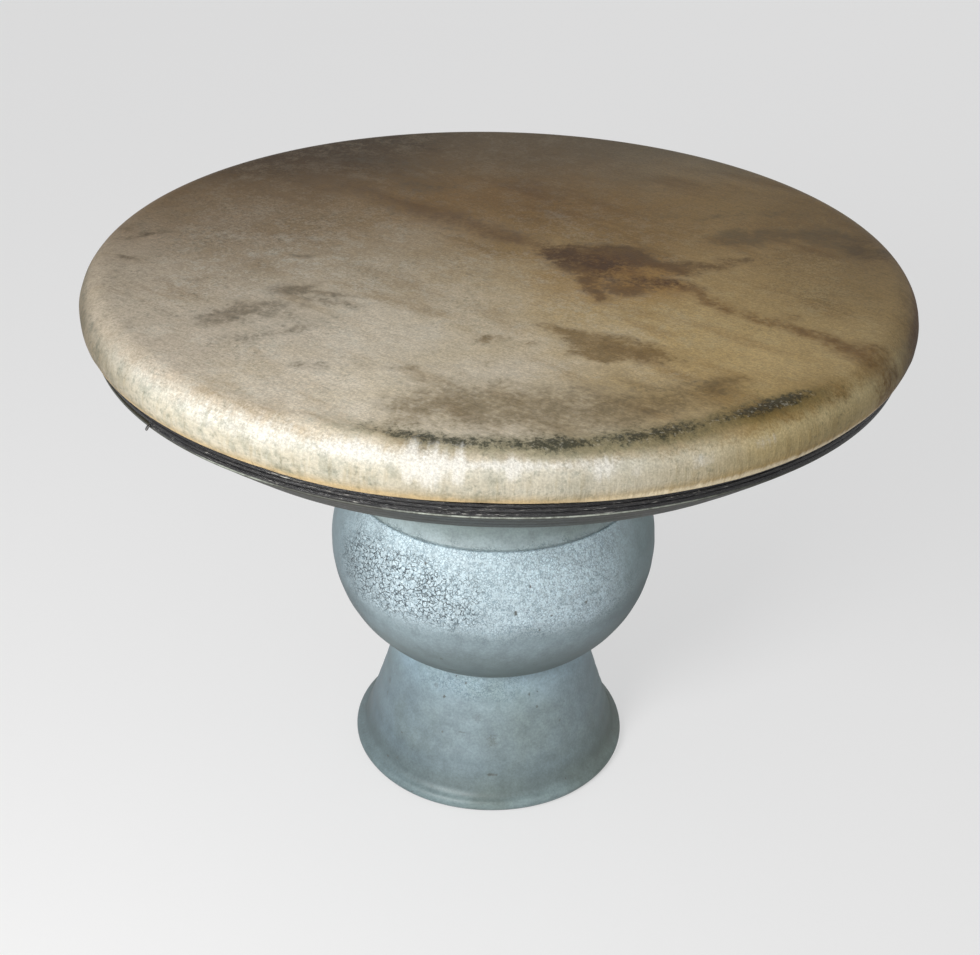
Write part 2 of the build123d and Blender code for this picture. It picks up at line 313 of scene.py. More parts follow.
def throwing_rings(radius, height, azimuth, pitch, seed):
    """The faint spiral that a potter's fingers leave, between about -1 and 1."""
    drift = 0.7 * np.sin(height / (17 * MM) + seed) + 0.4 * np.sin(height / (7.3 * MM) + 2 * seed)
    swell = 0.65 + 0.35 * np.sin(height / (23 * MM) + azimuth + seed)
    return swell * np.cos(math.tau * height / pitch + azimuth + drift)


def foot_carving(radius, height, azimuth):
    free = smooth(height, 0.8 * MM, 6 * MM) * smooth(SEAT_HEIGHT - height, 0.5 * MM, 5 * MM)
    rings = 0.10 * throwing_rings(radius, height, azimuth, 7.5 * MM, 1.3)
    lip = smooth(height, 0.2 * MM, 2 * MM) * smooth(12 * MM - height, 0, 7 * MM)
    wave = 0.12 * wander(azimuth, 5, 2, 9) * lip
    chip = np.exp(-(((azimuth - math.radians(272)) * radius / (2.0 * MM)) ** 2) - ((height - 17 * MM) / (1.0 * MM)) ** 2)
    return MM * (rings * free + wave - 0.45 * chip * (radius > 50 * MM))


def inner_share(inside):
    """A point attribute that is 1 inside the piece and 0 on its outside, from a test of (radius, height)."""
    return lambda x, y, z: {"inner": inside(np.hypot(x, y), z).astype(float)}


def inside_foot(radius, height):
    middle = np.interp(height, [0, FOOT_LIP, SEAT_HEIGHT], [FOOT_RADIUS - FOOT_WALL / 2 - 2 * MM, 60.5 * MM, FOOT_NECK - FOOT_WALL / 2])
    return radius < middle


foot = turned("clay_foot_thrown", foot_profile(), 560, foot_carving, inner_share(inside_foot))
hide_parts("clay_foot")

# The clay chamber

def bulb_profile():
    centre = (BULB_RING, BULB_HEIGHT)
    near_collar = COLLAR_ANGLE - 3 * MM / BULB_ARC
    outside = bend(centre, BULB_ARC, SEAT_ANGLE, near_collar, 0.8 * MM)
    collar = bend(centre, BULB_ARC, near_collar, COLLAR_ANGLE, 0.12 * MM)
    throat_angle = math.asin(THROAT_RISE / BULB_INNER)
    port_angle = -math.acos((PORT_RADIUS - BULB_RING) / BULB_INNER)
    inside = bend(centre, BULB_INNER, throat_angle, port_angle, 4 * MM)
    seat = run((PORT_RADIUS, SEAT_HEIGHT), (FOOT_NECK, SEAT_HEIGHT), 2 * MM)
    return joined(outside, collar, run(collar[-1], inside[0], 2 * MM), inside, seat)[:-1]


def scribe(radius, height, azimuth):
    """How deep the scribed line is cut at each point. The glaze has half filled it in places."""
    filled = smooth(wander(azimuth, 11, 20, 70), 0.4, 1.6)
    depth = SCRIBE_DEPTH * (0.9 - 0.8 * filled)
    away = np.abs(height - COLLAR_HEIGHT) / SCRIBE_HALF_WIDTH
    return depth * np.clip(1 - away, 0, 1) * (radius > COLLAR_RADIUS - 3 * MM) * (radius < COLLAR_RADIUS + 3 * MM)


def bulb_carving(radius, height, azimuth):
    free = smooth(height - SEAT_HEIGHT, 0.5 * MM, 6 * MM) * smooth(COLLAR_HEIGHT - height, 1.2 * MM, 6 * MM)
    rings = 0.07 * throwing_rings(radius, height, azimuth, 9 * MM, 2.1)
    round_error = 0.12 * wander(azimuth + height / (60 * MM), 7, 2, 4)
    return MM * (rings + round_error) * free - scribe(radius, height, azimuth)


def inside_bulb(radius, height):
    away = np.hypot(radius - BULB_RING, height - BULB_HEIGHT)
    return away < BULB_ARC - BULB_WALL / 2


bulb = turned("clay_bulb_thrown", bulb_profile(), 550, bulb_carving, inner_share(inside_bulb))
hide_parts("clay_bulb")

# The clay bowl

def slope_height(radius):
    """The height of the bowl's underside at a radius."""
    return BELT_BASE + (radius - BELT_BASE_RADIUS) * math.tan(SLOPE_ANGLE)


def bowl_profile():
    neck_centre = (COLLAR_RADIUS + NECK_CURVE * math.cos(COLLAR_ANGLE), COLLAR_HEIGHT + NECK_CURVE * math.sin(COLLAR_ANGLE))
    turn_start = math.pi + COLLAR_ANGLE
    groove_end = turn_start - 2.4 * MM / NECK_CURVE
    groove = bend(neck_centre, NECK_CURVE, turn_start, groove_end, 0.12 * MM)
    neck = bend(neck_centre, NECK_CURVE, groove_end, math.pi / 2 + SLOPE_ANGLE, 1.0 * MM)
    belt_top = (LEDGE_RADIUS, BELT_TOP)
    belt = eased(neck[-1], (BELT_BASE_RADIUS, BELT_BASE), belt_top, BELT_EASING, 1.1 * MM)
    face_top = (LEDGE_RADIUS, LEDGE_HEIGHT)
    ledge_foot = eased(belt[-1], belt_top, face_top, LEDGE_EDGE, 0.15 * MM)
    channel_foot = (CHANNEL_RADIUS, LEDGE_HEIGHT)
    channel_head = (CHANNEL_RADIUS, CHANNEL_TOP)
    ledge = eased(belt_top, face_top, channel_foot, LEDGE_EDGE, 0.12 * MM)
    shoulder_centre = np.array((SHOULDER_CENTRE, SHOULDER_HEIGHT))
    channel_angle = -math.asin(SHOULDER_DROP / CLAY_SHOULDER)
    shoulder = bend(shoulder_centre, CLAY_SHOULDER, channel_angle, math.pi / 2, 2.4 * MM)
    lip = bend(shoulder_centre + (0, CLAY_SHOULDER - RIM_WALL / 2), RIM_WALL / 2, math.pi / 2, 3 * math.pi / 2, 1.8 * MM)
    roll = bend(shoulder_centre, ROLL_INNER, math.pi / 2, 0, 1.2 * MM)
    rise = BOWL_WALL / math.cos(SLOPE_ANGLE)
    inner_corner = (BOWL_INSIDE, slope_height(BOWL_INSIDE) + rise)
    throat_corner = (THROAT_RADIUS, slope_height(THROAT_RADIUS) + rise)
    throat_foot = (THROAT_RADIUS, COLLAR_HEIGHT)
    corner = eased(roll[-1], inner_corner, throat_corner, INNER_CORNER_ROUNDING, 1.8 * MM)
    throat = eased(inner_corner, throat_corner, throat_foot, THROAT_ROUNDING, 1.8 * MM)
    return joined(
        groove,
        neck,
        run(neck[-1], belt[0], 1.7 * MM),
        belt,
        run(belt[-1], ledge_foot[0], 0.9 * MM),
        ledge_foot,
        ledge,
        run(ledge[-1], channel_foot, 1.2 * MM),
        run(channel_foot, channel_head, 2.4 * MM),
        run(channel_head, shoulder[0], 1.2 * MM),
        shoulder,
        lip,
        roll,
        run(roll[-1], corner[0], 5 * MM),
        corner,
        run(corner[-1], throat[0], 6 * MM),
        throat,
        run(throat[-1], throat_foot, 4 * MM),
        run(throat_foot, groove[0], 4 * MM),
    )[:-1]


def bowl_carving(radius, height, azimuth):
    underside = smooth(height - COLLAR_HEIGHT, 2 * MM, 9 * MM) * smooth(LEDGE_HEIGHT - height, 1.2 * MM, 4 * MM)
    rings = 0.11 * throwing_rings(radius, height, azimuth, 5.2 * MM, 0.4)
    round_error = 0.10 * wander(azimuth, 3, 2, 5)
    return MM * (rings + round_error) * underside - scribe(radius, height, azimuth)


def inside_bowl(radius, height):
    outer = np.maximum(slope_height(radius), BELT_BASE + (radius - BELT_BASE_RADIUS) * BELT_RISE / BELT_REACH)
    in_bowl = (height > outer + 2 * MM) & (radius < (BOWL_INSIDE + CHANNEL_RADIUS) / 2)
    return in_bowl | (radius < THROAT_RADIUS + 4 * MM)


bowl = turned("clay_bowl_thrown", bowl_profile(), 480, bowl_carving, inner_share(inside_bowl))
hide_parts("clay_bowl")

# The goatskin

def skin_profile():
    centre = (SHOULDER_CENTRE, SHOULDER_HEIGHT)

    def fold_angle(offset):
        return -math.asin((SHOULDER_DROP + offset) / (CLAY_SHOULDER + offset))

    outer_fold = (CHANNEL_RADIUS + SKIN_OUTSIDE, CHANNEL_TOP - SKIN_OUTSIDE)
    inner_fold = (CHANNEL_RADIUS + GLUE_THICKNESS, CHANNEL_TOP - GLUE_THICKNESS)
    edge = LEDGE_HEIGHT + SKIN_TRIM_GAP
    under = bend(centre, CLAY_SHOULDER + GLUE_THICKNESS, fold_angle(GLUE_THICKNESS), math.pi / 2, 2.2 * MM)[::-1]
    over = bend(centre, SHOULDER_RADIUS, fold_angle(SKIN_OUTSIDE), math.pi / 2, 0.65 * MM)
    return joined(
        run((2.5 * MM, HEAD_HEIGHT - SKIN_THICKNESS), under[0], 11 * MM),
        under,
        run(under[-1], inner_fold, 1.5 * MM),
        run(inner_fold, (inner_fold[0], edge), 3 * MM),
        run((inner_fold[0], edge), (outer_fold[0], edge), 1 * MM),
        run((outer_fold[0], edge), (outer_fold[0], outer_fold[1] - 0.3 * MM), 1.5 * MM),
        eased((outer_fold[0], edge), outer_fold, over[0], 0.3 * MM, 0.12 * MM),
        run((outer_fold[0] + 0.25 * MM, outer_fold[1] + 0.05 * MM), over[0], 0.5 * MM)[1:],
        over,
        run(over[-1], (2.5 * MM, HEAD_HEIGHT), 2.35 * MM),
    )


def skin_piece():
    profile = skin_profile()
    around = 608
    azimuth = np.arange(around)[None, :] * math.tau / around
    onward = np.gradient(profile, axis=0)
    onward /= np.linalg.norm(onward, axis=1)[:, None]
    radius, height = profile[:, :1], profile[:, 1:]
    over = smooth(HEAD_HEIGHT - height, 0.2 * MM, 14 * MM) * (radius > 150 * MM)
    low = smooth(HEAD_HEIGHT - height, 6 * MM, 16 * MM) * (radius > 150 * MM)
    tucked = smooth(CHANNEL_TOP - height, 0.4 * MM, 1.2 * MM)
    pucker = 0.05 * wander(azimuth, 21, 60, 110) * low + 0.06 * wander(azimuth, 22, 18, 50) * over
    depth = MM * pucker * (1 - tucked)
    outer = radius + onward[:, 1:] * depth
    hangs = smooth(radius, 172.6 * MM, 175.2 * MM) * smooth(243 * MM - height, 0, 4.5 * MM)
    sag = np.interp(np.degrees(azimuth) - 360, [place for place, _ in SKIN_SAG], [drop for _, drop in SKIN_SAG], period=360)
    level = height - onward[:, :1] * depth - MM * sag * hangs
    points = np.stack((outer * np.cos(azimuth), outer * np.sin(azimuth), level + 0 * azimuth), axis=-1)
    x, y, z = (points[..., axis] / MM for axis in range(3))
    polar = np.degrees(np.arctan2(y, x))
    reach = np.hypot(x, y) + 0.9 * (HEAD_HEIGHT / MM - z)
    smudge_line = np.interp(polar, [-106, -97, -88, -80, -70, -60, -53, -46], [164, 166.5, 167.5, 168, 167, 165.5, 166.5, 168])
    smudge_strength = np.interp(polar, [-112, -104, -99, -93, -90, -86, -82, -79, -76, -73, -69, -66, -62, -57, -52, -48, -45], [0, 0.5, 0.75, 0.8, 0.45, 0.8, 1, 0.7, 0.55, 0.9, 1, 0.6, 0.5, 0.9, 1, 0.8, 0])
    smudge = np.exp(-(((reach - smudge_line) / 4.6) ** 2)) * smudge_strength
    halo_strength = np.interp(polar, [-116, -104, -92, -80, -60, -48, -40], [0, 0.6, 0.8, 1, 1, 0.8, 0])
    smudge_halo = np.exp(-(((reach - smudge_line - 1.5) / 7.5) ** 2)) * halo_strength
    tongues = 1 - np.prod([1 - strength * np.exp(-(((polar - place) / wide) ** 2) - ((z - level) / tall) ** 2) for place, level, wide, tall, strength in TONGUES], axis=0)
    tongues = tongues * smooth(np.hypot(x, y), 164, 169)
    drift_x, drift_y = blown(x, y, 4.2)
    attributes = {
        "spine": stripe(drift_x, drift_y, SPINE),
        "dark_patch": blotches(drift_x, drift_y, DARK_PATCH),
        "olive_patch": blotches(drift_x, drift_y, OLIVE_PATCH),
        "front_cloud": blotches(drift_x, drift_y, FRONT_CLOUD),
        "spots": blotches(drift_x, drift_y, SPOTS),
        "back_grey": blotches(drift_x, drift_y, BACK_GREY),
        "smudge": smudge,
        "smudge_halo": smudge_halo,
        "tongues": tongues,
        "over": over + 0 * azimuth,
    }
    loops = quads(len(profile), around, False)
    last = (len(profile) - 1) * around
    loops.append([index for index in range(around)][::-1])
    loops.append([last + index for index in range(around)])
    return skin_of_grid("goatskin_stretched", points, loops, attributes, 60)


skin = skin_piece()
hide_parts("goatskin_head")

# The waxed binding: one cord in four close rows, and its two knots

CORD_LINE_RADIUS = CHANNEL_RADIUS + SKIN_OUTSIDE + CORD_BED + CORD_RADIUS
LAST_QUARTER = 4 * CORD_ROWS - 1


def cord_at(quarter):
    """Middle points of the winding after so many quarter turns, and the azimuth there. Each turn climbs a row in its last quarter."""
    azimuth = KNOT_AZIMUTH + quarter * math.pi / 2
    turn, part = np.divmod(quarter, 4)
    row = turn + smooth(part, 3, 4) + 1 / 2
    radius = CORD_LINE_RADIUS + 0.05 * MM * np.sin(quarter * 9.1) * np.sin(quarter * 2.3 + 1)
    height = LEDGE_HEIGHT + row * CORD_PITCH
    return np.column_stack((radius * np.cos(azimuth), radius * np.sin(azimuth), height)), azimuth


def winding_piece():
    quarter = np.linspace(0, LAST_QUARTER, 2800)
    centres, azimuth = cord_at(quarter)
    side = np.column_stack((np.cos(azimuth), np.sin(azimuth), 0 * azimuth))
    around = 16
    turn = np.arange(around)[None, :] * math.tau / around
    pick = np.random.default_rng(31)
    roll = sum(pick.normal() * np.sin(pick.uniform(3, 30) * quarter + pick.uniform(0, math.tau)) for _ in range(6)) / 4
    swell = sum(pick.normal() * np.sin(pick.uniform(20, 90) * quarter + pick.uniform(0, math.tau)) for _ in range(6)) / 6
    lobes = 0.035 * np.cos(2 * (turn - roll[:, None])) + 0.05 * np.cos(5 * turn + 3 * roll[:, None])
    radii = CORD_RADIUS * (0.955 - lobes + 0.02 * swell[:, None])
    along = quarter[:, None] * math.pi / 2 * CORD_LINE_RADIUS / MM + 0 * turn
    lay = np.stack((along, radii * np.cos(turn) / MM, radii * np.sin(turn) / MM), axis=-1)
    return tube("waxed_cord_winding", centres, side, radii, {"lay": lay})


winding = winding_piece()
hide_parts("binding_cord")


def knot_piece(name, quarter, beyond):
    """A small barrel knot of three wraps, past an end of the cord: beyond is 1 after the last row and -1 before the first."""
    place, azimuth = (value[0] for value in cord_at(np.array([float(quarter)])))
    along = np.array((-math.sin(azimuth), math.cos(azimuth), 0)) * beyond
    outward = np.array((math.cos(azimuth), math.sin(azimuth), 0))
    share = np.linspace(-0.04, 1, 46)[:, None]
    centres = place + along * share * KNOT_LENGTH
    turn = np.arange(24)[None, :] * math.tau / 24
    barrel = np.sqrt(np.clip(1 - np.abs(2 * share - 1) ** 3.2, 0.03, 1))
    wraps = 0.13 * np.abs(np.sin(3 * math.pi * share + turn / 2))
    radii = 0.80 * MM * barrel * (0.88 + wraps)
    lay = np.stack((turn * 3 + 9 * share, share * 4 + 0 * turn, 0 * turn + 0 * share), axis=-1)
    return tube(name, centres, outward + 0 * centres, radii, {"lay": lay})


def tail_piece():
    """The cut tail of the lower knot: it stands out over the ledge and its fibres have opened at the tip."""
    place, azimuth = (value[0] for value in cord_at(np.array([0.0])))
    along = np.array((-math.sin(azimuth), math.cos(azimuth), 0))
    outward = np.array((math.cos(azimuth), math.sin(azimuth), 0))
    root = place - along * KNOT_LENGTH / 2
    reach = LEDGE_RADIUS + TAIL_REACH - CORD_LINE_RADIUS
    share = np.linspace(0, 1, 18)[:, None]
    centres = root + outward * share * reach - np.array((0, 0, 1.3 * MM)) * smooth(share, 0.55, 1)
    turn = np.arange(14)[None, :] * math.tau / 14
    flare = 0.52 + 0.16 * share**4 + 0.05 * np.cos(5 * turn + share) * share
    radii = MM * flare * np.sqrt(np.clip(1 - share**9, 0.15, 1))
    lay = np.stack((share * reach / MM + 0 * turn, radii * np.cos(turn) / MM, radii * np.sin(turn) / MM), axis=-1)
    return tube("knot_tail", centres, along + 0 * centres, radii, {"lay": lay})


lower_knot = knot_piece("lower_knot", 0, -1)
upper_knot = knot_piece("upper_knot", LAST_QUARTER, 1)
tail = tail_piece()
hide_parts("binding_knots")


# Materials

class Paint:
    """A node material while it is made. Its methods return the sockets that carry their results."""

    def __init__(self, name):
        self.material = bpy.data.materials.new(name)
        self.material.use_nodes = True
        self.tree = self.material.node_tree
        self.shader = self.tree.nodes["Principled BSDF"]
        self.place = self.scaled(self.node("ShaderNodeTexCoord").outputs["Object"], (1 / MM,) * 3)

    def node(self, kind, inputs=None, **settings):
        node = self.tree.nodes.new(kind)
        for key, value in settings.items():
            setattr(node, key, value)
        for key, value in (inputs or {}).items():
            self.feed(node.inputs[key], value)
        return node

    def feed(self, socket, value):
        if isinstance(value, bpy.types.NodeSocket):
            self.tree.links.new(value, socket)
        elif socket.type == "RGBA":
            socket.default_value = (*value, 1)
        else:
            socket.default_value = value

    def set(self, **values):
        """Feeds the shader's own sockets; an underscore stands for a space."""
        for key, value in values.items():
            self.feed(self.shader.inputs[key.replace("_", " ")], value)

    def scaled(self, vector, factors):
        return self.node("ShaderNodeVectorMath", {0: vector, 1: factors}, operation="MULTIPLY").outputs[0]

    def spun(self, vector, degrees):
        turned_by = {"Vector": vector, "Angle": math.radians(degrees)}
        return self.node("ShaderNodeVectorRotate", turned_by, rotation_type="Z_AXIS").outputs[0]

    def shifted(self, vector, amount, size, seed):
        """The vector, pushed about by up to an amount by noise of a size."""
        push = self.node("ShaderNodeTexNoise", {"Vector": self.added(vector, (seed, seed, seed)), "Scale": 1 / size, "Detail": 2.0}).outputs["Color"]
        centred = self.node("ShaderNodeVectorMath", {0: push, 1: (0.5, 0.5, 0.5)}, operation="SUBTRACT").outputs[0]
        return self.added(vector, self.scaled(centred, (2 * amount,) * 3))

    def added(self, vector, other):
        return self.node("ShaderNodeVectorMath", {0: vector, 1: other}, operation="ADD").outputs[0]

    def noise(self, size, detail=2.0, roughness=0.5, vector=None, seed=0.0, distortion=0.0):
        """Noise between 0 and 1 whose features have about a size, in millimetres of the vector."""
        source = self.added(vector or self.place, (seed, -seed, seed / 2))
        inputs = {"Vector": source, "Scale": 1 / size, "Detail": detail, "Roughness": roughness, "Distortion": distortion}
        return self.node("ShaderNodeTexNoise", inputs).outputs[0]

    def cells(self, size, vector=None, feature="F1", randomness=1.0):
        inputs = {"Vector": vector or self.place, "Scale": 1 / size, "Randomness": randomness}
        return self.node("ShaderNodeTexVoronoi", inputs, feature=feature).outputs["Distance"]

    def value(self, name):
        return self.node("ShaderNodeAttribute", attribute_name=name).outputs["Fac"]

    def vector(self, name):
        return self.node("ShaderNodeAttribute", attribute_name=name).outputs["Vector"]

    def axis(self, vector, letter):
        return self.node("ShaderNodeSeparateXYZ", {0: vector}).outputs[letter]

    def sum(self, operation, *values):
        return self.node("ShaderNodeMath", dict(enumerate(values)), operation=operation).outputs[0]

    def times(self, *values):
        total = values[0]
        for value in values[1:]:
            total = self.sum("MULTIPLY", total, value)
        return total

    def plus(self, *values):
        total = values[0]
        for value in values[1:]:
            total = self.sum("ADD", total, value)
        return total

    def step(self, value, low, high, start=0.0, end=1.0):
        inputs = {0: value, 1: low, 2: high, 3: start, 4: end}
        return self.node("ShaderNodeMapRange", inputs, interpolation_type="SMOOTHSTEP").outputs[0]

    def opened(self, noise):
        """Noise, spread out to fill 0 to 1."""
        return self.step(noise, 0.32, 0.68)

    def azimuth(self):
        """Degrees round the drum from +X, between -180 and 180."""
        turn = self.sum("ARCTAN2", self.axis(self.place, "Y"), self.axis(self.place, "X"))
        return self.times(turn, math.degrees(1))

    def round_rim(self):
        """A vector that hardly changes down the rim, and runs in millimetres round it."""
        flat = self.node("ShaderNodeVectorMath", {0: self.scaled(self.place, (1, 1, 0))}, operation="NORMALIZE").outputs[0]
        return self.added(self.scaled(flat, (HEAD_RADIUS / MM,) * 3), self.scaled(self.place, (0, 0, 0.14)))

    def mix(self, share, first, second, blend="MIX"):
        node = self.node("ShaderNodeMix", {0: share, 6: first, 7: second}, data_type="RGBA", blend_type=blend)
        return node.outputs[2]

    def shaded(self, colour, value, low, high):
        """The colour, made darker and lighter by a value between 0 and 1."""
        level = self.step(value, 0.25, 0.75, low, high)
        return self.node("ShaderNodeVectorMath", {0: colour, "Scale": level}, operation="SCALE").outputs[0]

    def tinted(self, colour, value, low, high, tint):
        """The colour, multiplied by a tint where the value nears high and left alone where it nears low."""
        return self.mix(self.step(value, low, high), colour, tint, "MULTIPLY")

    def bump(self, height, depth, normal=None):
        """A bump whose height of 1 stands for a depth in millimetres."""
        inputs = {"Height": height, "Distance": depth * MM, "Strength": 1.0}
        if normal is not None:
            inputs["Normal"] = normal
        return self.node("ShaderNodeBump", inputs).outputs[0]


def put(material, *pieces):
    for piece in pieces:
        piece.data.materials.clear()
        piece.data.materials.append(material)


def goatskin_material():
    paint = Paint("scraped_goatskin")
    along_spine = paint.spun(paint.place, 38)
    fibre = paint.noise(1.0, 3, 0.65, paint.scaled(along_spine, (0.2, 1.25, 1.25)))
    drift = paint.noise(1.0, 4, 0.6, paint.scaled(along_spine, (0.016, 0.055, 0.055)), seed=3)
    grain = paint.noise(0.9, 4, 0.75)
    fleck = paint.noise(2.2, 4, 0.7, seed=9)
    patchy = paint.noise(6.5, 4, 0.7, seed=13)
    mottle = paint.noise(16, 6, 0.66, seed=5)
    cloud = paint.noise(60, 4, 0.6, seed=11)
    streaks = paint.noise(2.2, 3, 0.6, paint.round_rim(), seed=17)
    over = paint.value("over")
    ragged = paint.plus(
        paint.times(paint.opened(mottle), 0.22),
        paint.times(paint.opened(patchy), 0.36),
        paint.times(paint.opened(fleck), 0.26),
        paint.times(paint.opened(grain), 0.2),
        -0.52,
    )
    grains = paint.plus(paint.times(paint.opened(grain), 0.5), paint.times(paint.opened(fleck), 0.5), -0.5)

    def stained(colour, label, low, high, spread, tint):
        near = paint.step(paint.value(label), 0.03, 0.3)
        rough_edge = paint.times(paint.plus(paint.times(ragged, spread), paint.times(grains, 0.25)), near)
        share = paint.step(paint.plus(paint.value(label), rough_edge), low, high)
        return paint.mix(paint.times(share, paint.step(patchy, 0.25, 0.6, 0.75, 1)), colour, tint, "MULTIPLY")

    across, back, height = (paint.axis(paint.place, letter) for letter in "XYZ")
    backward = paint.plus(back, paint.times(paint.plus(cloud, -0.5), 70), paint.times(paint.plus(mottle, -0.5), 25))
    rightward = paint.plus(across, paint.times(paint.plus(cloud, -0.5), 60), paint.times(paint.plus(mottle, -0.5), 20))
    colour = paint.mix(paint.step(cloud, 0.35, 0.65), (0.60, 0.53, 0.42), (0.55, 0.475, 0.35))
    colour = paint.mix(paint.times(paint.opened(mottle), 0.5), colour, (0.68, 0.61, 0.50))
    colour = paint.mix(paint.times(paint.opened(patchy), 0.3), colour, (0.45, 0.39, 0.285))
    # Darker towards the back, browner then greyer: partly the skin's own colour, partly painted shade where less light
    # reaches
    colour = paint.tinted(colour, backward, -95, 75, (0.37, 0.285, 0.185))
    colour = paint.tinted(colour, backward, 65, 165, (0.45, 0.46, 0.47))
    colour = paint.tinted(colour, rightward, -40, -125, (0.80, 0.78, 0.77))
    golden = paint.times(paint.step(paint.plus(rightward, paint.times(backward, 0.5)), -75, 35), paint.step(backward, 150, 50))
    colour = paint.mix(golden, colour, (0.80, 0.66, 0.39), "MULTIPLY")
    front_right = paint.times(paint.step(rightward, -10, 50), paint.step(back, -100, -135))
    colour = paint.mix(front_right, colour, (0.80, 0.77, 0.68), "MULTIPLY")
    deepest = paint.times(paint.step(rightward, 0, 40), paint.step(rightward, 90, 55), paint.step(back, -60, -30), paint.step(back, 15, -5))
    colour = paint.mix(deepest, colour, (0.80, 0.67, 0.47), "MULTIPLY")
    # Lighter at the front left of the face: painted light
    front_left = paint.times(paint.step(rightward, -10, -50), paint.step(back, -95, -130))
    colour = paint.mix(front_left, colour, (1.14, 1.15, 1.17), "MULTIPLY")
    # Darker at the back left: partly browner skin, partly painted shade
    back_left = paint.times(paint.step(rightward, -5, -80), paint.step(back, 50, 125))
    colour = paint.mix(back_left, colour, (0.40, 0.33, 0.23), "MULTIPLY")
    # Darker towards the right edge: painted shade
    colour = paint.tinted(colour, rightward, 95, 160, (0.64, 0.62, 0.58))
    colour = paint.mix(paint.times(paint.step(rightward, 10, 110), paint.step(back, 15, 80)), colour, (1.25, 1.42, 1.7), "MULTIPLY")
    colour = paint.tinted(colour, drift, 0.5, 0.75, (0.70, 0.64, 0.55))
    shoulder = paint.mix(paint.step(mottle, 0.35, 0.65), (0.595, 0.565, 0.475), (0.665, 0.64, 0.555))
    shoulder = paint.tinted(shoulder, height, 253.5, 246, (0.86, 0.83, 0.77))
    # Painted shade at the shoulder's far left end, where it turns away from the light
    shoulder = paint.tinted(shoulder, across, -118, -172, (0.40, 0.36, 0.31))
    shoulder = paint.tinted(shoulder, rightward, 25, 105, (0.88, 0.75, 0.48))
    # Much darker at the far right end: partly the skin's own brown, partly painted shade
    shoulder = paint.tinted(shoulder, rightward, 135, 168, (0.16, 0.10, 0.055))
    # Darker at the back: partly browner skin, partly painted shade
    shoulder = paint.tinted(shoulder, back, -20, 90, (0.45, 0.38, 0.30))
    # Paler upper front of the shoulder: partly whiter skin, partly a painted highlight
    bright = paint.times(paint.step(height, 251, 254), paint.step(across, -25, -60), paint.step(across, -150, -135))
    shoulder = paint.mix(bright, shoulder, (1.15, 1.18, 1.22), "MULTIPLY")
    colour = paint.mix(paint.step(paint.plus(over, paint.times(ragged, 0.35)), -0.06, 0.42), colour, shoulder)
    clouded = paint.times(paint.step(paint.noise(7, 5, 0.72, seed=31), 0.46, 0.62), paint.step(over, 0, 0.3), paint.step(rightward, 60, -40, 0.3, 1))
    colour = paint.mix(clouded, colour, (0.76, 0.79, 0.79), "MULTIPLY")
    colour = stained(colour, "spine", 0.12, 1.1, 0.9, (0.44, 0.335, 0.22))
    colour = stained(colour, "dark_patch", 0.08, 0.8, 0.8, (0.36, 0.285, 0.195))
    colour = stained(colour, "olive_patch", 0.08, 0.75, 0.7, (0.44, 0.375, 0.265))
    colour = stained(colour, "front_cloud", 0.08, 1.05, 0.95, (0.47, 0.43, 0.35))
    colour = stained(colour, "spots", 0.2, 1.05, 1.0, (0.43, 0.405, 0.36))
    colour = stained(colour, "back_grey", 0.2, 1.0, 0.9, (0.50, 0.50, 0.49))
    beneath = paint.step(paint.plus(paint.value("smudge_halo"), paint.times(ragged, 0.6)), 0.05, 0.9)
    colour = paint.mix(beneath, colour, (0.56, 0.57, 0.48), "MULTIPLY")
    smudge = paint.step(paint.plus(paint.value("smudge"), paint.times(grains, 0.6), paint.times(ragged, 0.9)), 0.3, 1.0)
    colour = paint.mix(smudge, colour, (0.20, 0.215, 0.22), "MULTIPLY")
    flecks = paint.step(paint.noise(1.7, 3, 0.7, seed=19), 0.56, 0.68)
    near_smudge = paint.step(paint.plus(paint.value("smudge"), paint.value("tongues"), paint.times(over, 0.25)), 0.25, 0.7)
    colour = paint.mix(paint.times(flecks, near_smudge, 0.3), colour, (0.66, 0.62, 0.50))
    speck_zone = paint.step(paint.plus(paint.noise(26, 3, seed=23), paint.times(over, 0.14), paint.times(across, -0.0005)), 0.48, 0.64)
    specks = paint.times(paint.step(paint.noise(2.4, 4, 0.7, seed=29), 0.5, 0.7), speck_zone)
    colour = paint.mix(paint.times(specks, 0.7), colour, (0.52, 0.57, 0.57), "MULTIPLY")
    # Pale tongues on the shoulder: paler stretched skin with a painted highlight on it
    tongues = paint.step(paint.plus(paint.value("tongues"), paint.times(paint.opened(streaks), 0.3), paint.times(grains, 0.25)), 0.35, 1.0)
    colour = paint.mix(paint.times(tongues, 0.8), colour, (0.74, 0.725, 0.675))
    rising = paint.plus(height, paint.times(streaks, 2.4))
    colour = paint.mix(paint.step(rising, 240.2, 245.5, 0.7, 0), colour, (0.95, 0.78, 0.52), "MULTIPLY")
